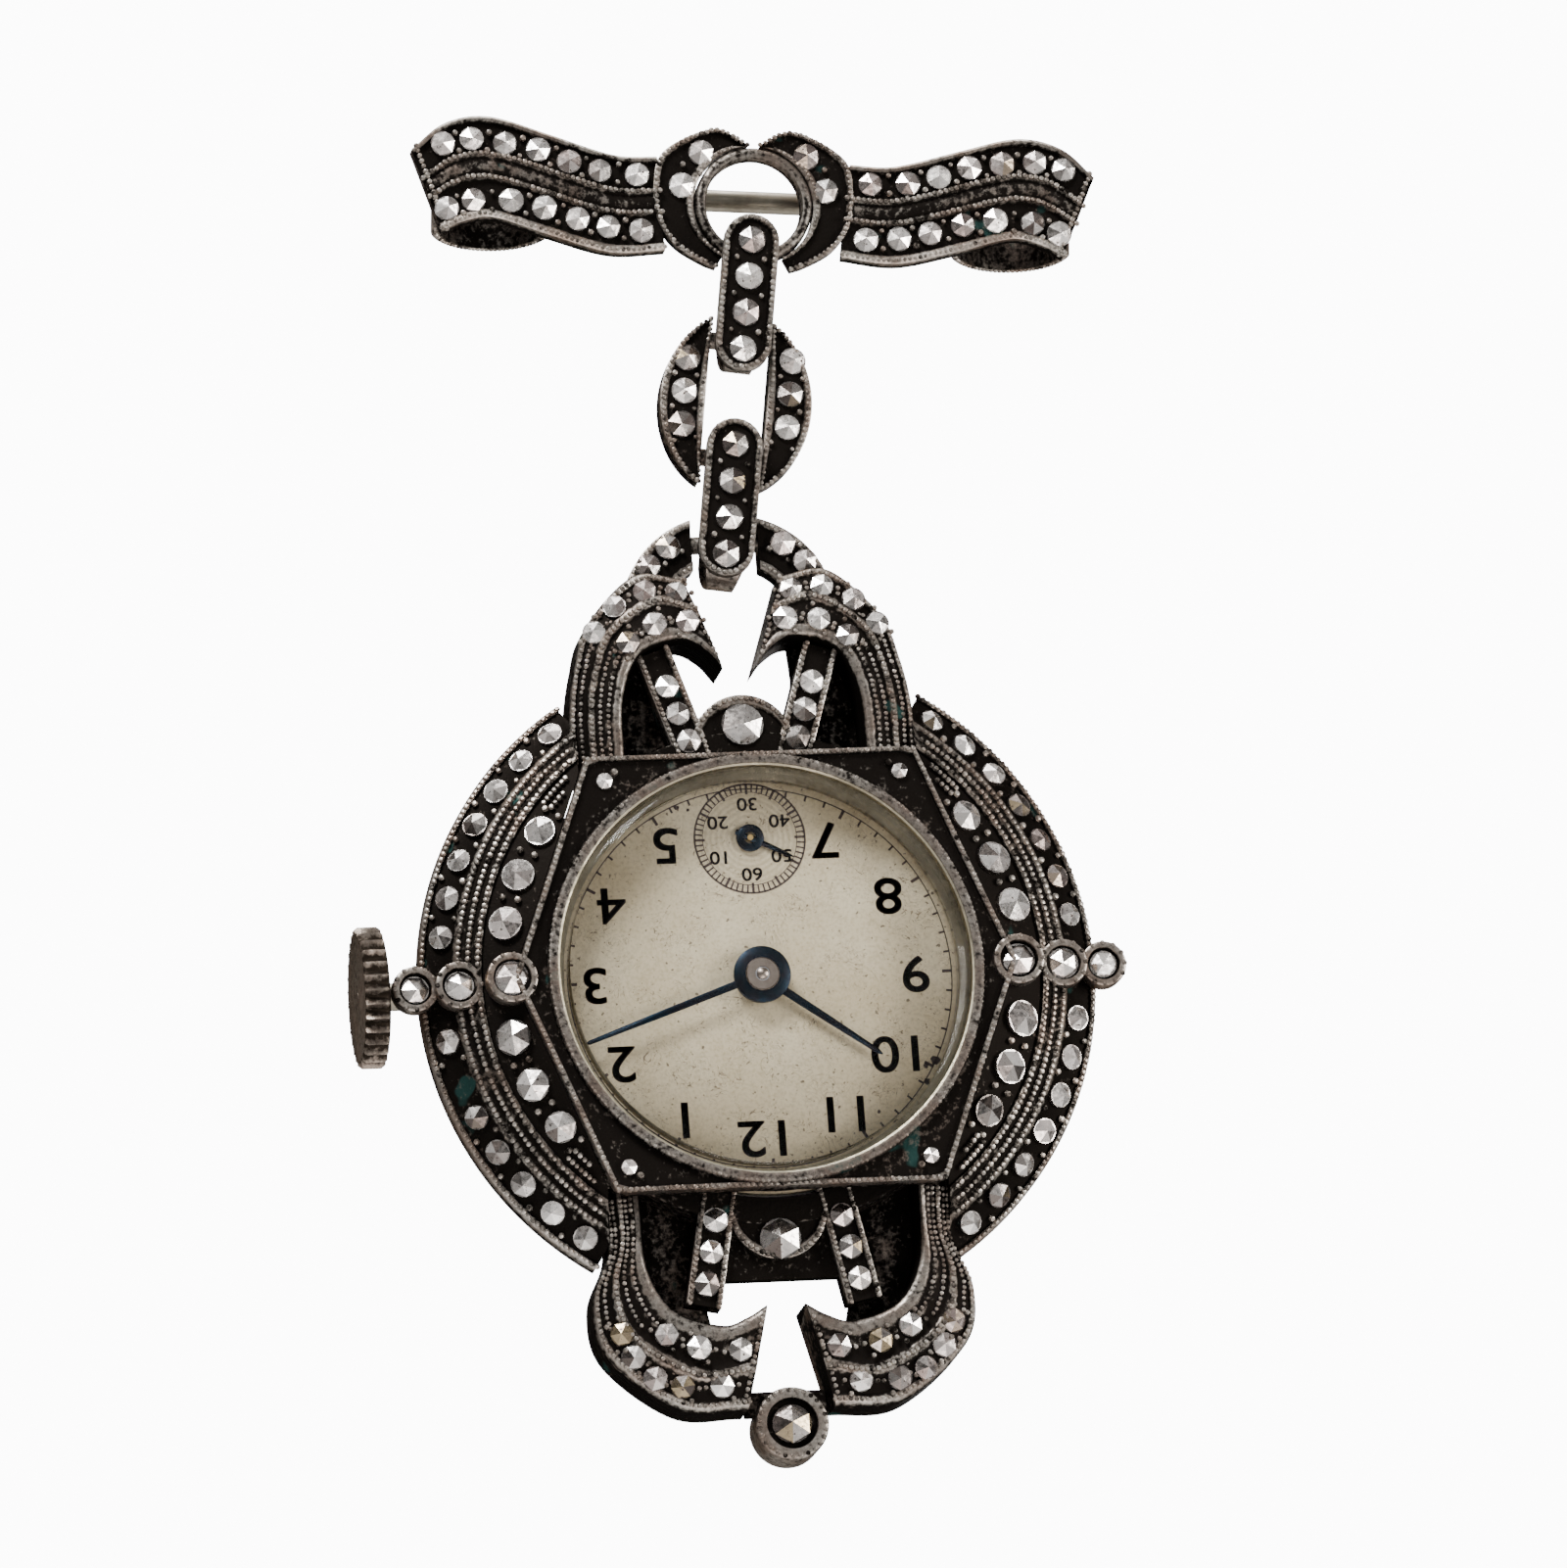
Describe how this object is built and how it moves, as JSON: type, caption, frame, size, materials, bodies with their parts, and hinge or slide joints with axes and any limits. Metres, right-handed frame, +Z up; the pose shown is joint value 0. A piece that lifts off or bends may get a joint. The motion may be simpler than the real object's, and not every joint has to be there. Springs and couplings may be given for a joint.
{
  "type": "fob watch",
  "caption": "Hanging fob watch set with marcasites: a ribbon-bow brooch with a hinged pin, three chain links and a round mechanical watch worn upside down.",
  "frame": {"origin": "middle of the brooch pin's axis", "axes": "+Z up, -Y towards the viewer in front of the dial, +X to the viewer's right"},
  "size_m": [0.0345, 0.0082, 0.0613],
  "materials": {
    "oxidised_silver": "darkened silver, worn bright on the raised edges",
    "marcasite": "faceted, metallic",
    "pin_steel": "drawn wire, dull",
    "case_silver": "satin",
    "crown_nickel": "worn nickel",
    "crystal_glass": "clear, lightly scratched",
    "dial_enamel": "aged cream, matt",
    "blued_steel": "blued",
    "plate_nickel": "nickel plated, fine grained",
    "gear_brass": "gilt",
    "steel_work": "polished",
    "ruby": "polished"
  },
  "bodies": {
    "brooch": {"left_ribbon": "oxidised_silver", "right_ribbon": "oxidised_silver", "crescents": "oxidised_silver", "eyelet_ring": "oxidised_silver", "brooch_marcasites": "marcasite", "pin_hinge_knuckle": "pin_steel", "pin_hinge_rivet": "pin_steel", "pin_catch": "pin_steel"},
    "pin": {"pin_stem": "pin_steel"},
    "upper_link": {"upper_link": "oxidised_silver", "upper_link_marcasites": "marcasite"},
    "oval_link": {"oval_link": "oxidised_silver", "oval_link_marcasites": "marcasite"},
    "lower_link": {"lower_link": "oxidised_silver", "lower_link_marcasites": "marcasite"},
    "head": {"case_middle": "case_silver", "case_frame": "oxidised_silver", "hexagon_bezel": "oxidised_silver", "crystal": "crystal_glass", "bail": "oxidised_silver", "case_scrolls": "oxidised_silver", "scroll_floors": "oxidised_silver", "accent_plates": "oxidised_silver", "collets": "oxidised_silver", "case_marcasites": "marcasite", "stem_tube": "pin_steel", "dial": "dial_enamel", "main_plate": "plate_nickel", "barrel_bridge": "plate_nickel", "train_bridge": "plate_nickel", "balance_cock": "plate_nickel", "pallet_bridge": "plate_nickel", "bridge_screws": "steel_work", "train_jewels": "ruby", "hairspring": "blued_steel"},
    "back": {"case_back": "case_silver"},
    "keyless": {"setting_lever": "steel_work"},
    "stem": {"winding_stem": "steel_work", "crown": "crown_nickel"},
    "yoke": {"yoke": "steel_work"},
    "clutch": {"clutch_wheel": "steel_work"},
    "winding_pinion": {"winding_pinion": "steel_work"},
    "crown_wheel": {"crown_wheel": "steel_work"},
    "ratchet": {"ratchet_wheel": "steel_work", "barrel_arbor": "steel_work"},
    "click": {"click": "steel_work"},
    "barrel": {"barrel": "gear_brass", "mainspring": "steel_work"},
    "centre": {"centre_wheel": "gear_brass", "cannon_pinion": "steel_work", "minute_hand": "blued_steel"},
    "hour": {"hour_wheel": "gear_brass", "hour_hand": "blued_steel"},
    "minute": {"minute_wheel": "gear_brass"},
    "third": {"third_wheel": "gear_brass"},
    "fourth": {"fourth_wheel": "gear_brass", "seconds_hand": "blued_steel"},
    "escape": {"escape_wheel": "steel_work"},
    "pallet": {"pallet_fork": "steel_work"},
    "balance": {"balance_wheel": "gear_brass"}
  },
  "joints": [
    {"name": "pin_hinge", "type": "hinge", "parent": "brooch", "child": "pin", "pos_m": [0.008, 0, 0], "axis": [0, 0, -1], "range_deg": [0, 75]},
    {"name": "upper_link_swing", "type": "hinge", "parent": "brooch", "child": "upper_link", "pos_m": [-0.00027, -0.0026, -0.00339], "axis": [-0.9969, 0, 0.0785], "range_deg": [-20, 20]},
    {"name": "oval_link_swing", "type": "hinge", "parent": "upper_link", "child": "oval_link", "pos_m": [-0.00058, -0.0026, -0.00738], "axis": [-0.9969, 0, 0.0785], "range_deg": [-25, 25]},
    {"name": "lower_link_swing", "type": "hinge", "parent": "oval_link", "child": "lower_link", "pos_m": [-0.00101, -0.0026, -0.01281], "axis": [-0.9969, 0, 0.0785], "range_deg": [-25, 25]},
    {"name": "head_swing", "type": "hinge", "parent": "lower_link", "child": "head", "pos_m": [-0.00132, -0.0026, -0.01673], "axis": [-0.9973, 0, -0.0732], "range_deg": [-20, 20]},
    {"name": "back_open", "type": "slide", "parent": "head", "child": "back", "axis": [0, 1, 0], "range_m": [0, 0.01]},
    {"name": "stem_pull", "type": "slide", "parent": "head", "child": "keyless", "axis": [-0.9973, 0, -0.0732], "range_m": [0, 0.0008]},
    {"name": "crown_turn", "type": "hinge", "parent": "keyless", "child": "stem", "pos_m": [-0.0168, -0.00275, -0.03809], "axis": [-0.9973, 0, -0.0732], "continuous": true},
    {"name": "yoke_slide", "type": "slide", "parent": "head", "child": "yoke", "axis": [0.9973, 0, 0.0732], "range_m": [0, 0.00048]},
    {"name": "clutch_turn", "type": "hinge", "parent": "yoke", "child": "clutch", "pos_m": [-0.00513, -0.00275, -0.03723], "axis": [-0.9973, 0, -0.0732], "continuous": true},
    {"name": "winding_pinion_turn", "type": "hinge", "parent": "head", "child": "winding_pinion", "pos_m": [-0.00633, -0.00275, -0.03732], "axis": [-0.9973, 0, -0.0732], "continuous": true},
    {"name": "crown_wheel_turn", "type": "hinge", "parent": "head", "child": "crown_wheel", "pos_m": [-0.00599, -0.0039, -0.0392], "axis": [0, 1, 0], "continuous": true},
    {"name": "ratchet_turn", "type": "hinge", "parent": "head", "child": "ratchet", "pos_m": [-0.00112, -0.0039, -0.04125], "axis": [0, 1, 0], "continuous": true},
    {"name": "click_tilt", "type": "hinge", "parent": "head", "child": "click", "pos_m": [0.00187, -0.0039, -0.04374], "axis": [0, 1, 0], "range_deg": [0, 8], "stiffness_Nm_per_rad": 0.000001, "springref_deg": -2.86},
    {"name": "seconds_turn", "type": "hinge", "parent": "head", "child": "fourth", "pos_m": [-0.00031, -0.0039, -0.03051], "axis": [0, 1, 0], "continuous": true},
    {"name": "third_turn", "type": "hinge", "parent": "head", "child": "third", "pos_m": [-0.00208, -0.0039, -0.03353], "axis": [0, 1, 0], "continuous": true},
    {"name": "centre_turn", "type": "hinge", "parent": "head", "child": "centre", "pos_m": [0.00016, -0.0039, -0.03684], "axis": [0, 1, 0], "continuous": true},
    {"name": "minute_wheel_turn", "type": "hinge", "parent": "head", "child": "minute", "pos_m": [-0.00134, -0.0039, -0.03552], "axis": [0, 1, 0], "continuous": true},
    {"name": "hour_turn", "type": "hinge", "parent": "head", "child": "hour", "pos_m": [0.00016, -0.0039, -0.03684], "axis": [0, 1, 0], "continuous": true},
    {"name": "barrel_turn", "type": "hinge", "parent": "head", "child": "barrel", "pos_m": [-0.00112, -0.0039, -0.04125], "axis": [0, 1, 0], "continuous": true},
    {"name": "escape_turn", "type": "hinge", "parent": "head", "child": "escape", "pos_m": [0.00237, -0.0039, -0.03152], "axis": [0, 1, 0], "continuous": true},
    {"name": "pallet_rock", "type": "hinge", "parent": "head", "child": "pallet", "pos_m": [0.00406, -0.0039, -0.03265], "axis": [0, 1, 0], "range_deg": [-5, 5]},
    {"name": "balance_swing", "type": "hinge", "parent": "head", "child": "balance", "pos_m": [0.00549, -0.0039, -0.03705], "axis": [0, 1, 0], "range_deg": [-270, 270], "stiffness_Nm_per_rad": 0.00000005}
  ],
  "couplings": [
    {"joint": "yoke_slide", "follows": "stem_pull", "ratio": 0.6},
    {"joint": "clutch_turn", "follows": "crown_turn", "ratio": 1},
    {"joint": "winding_pinion_turn", "follows": "crown_turn", "ratio": 1},
    {"joint": "crown_wheel_turn", "follows": "crown_turn", "ratio": -0.4},
    {"joint": "ratchet_turn", "follows": "crown_turn", "ratio": 0.2449},
    {"joint": "third_turn", "follows": "seconds_turn", "ratio": -0.13333},
    {"joint": "centre_turn", "follows": "seconds_turn", "ratio": 0.016667},
    {"joint": "minute_wheel_turn", "follows": "seconds_turn", "ratio": -0.0055556},
    {"joint": "hour_turn", "follows": "seconds_turn", "ratio": 0.0013889},
    {"joint": "barrel_turn", "follows": "seconds_turn", "ratio": -0.0025641},
    {"joint": "escape_turn", "follows": "seconds_turn", "ratio": -10}
  ]
}
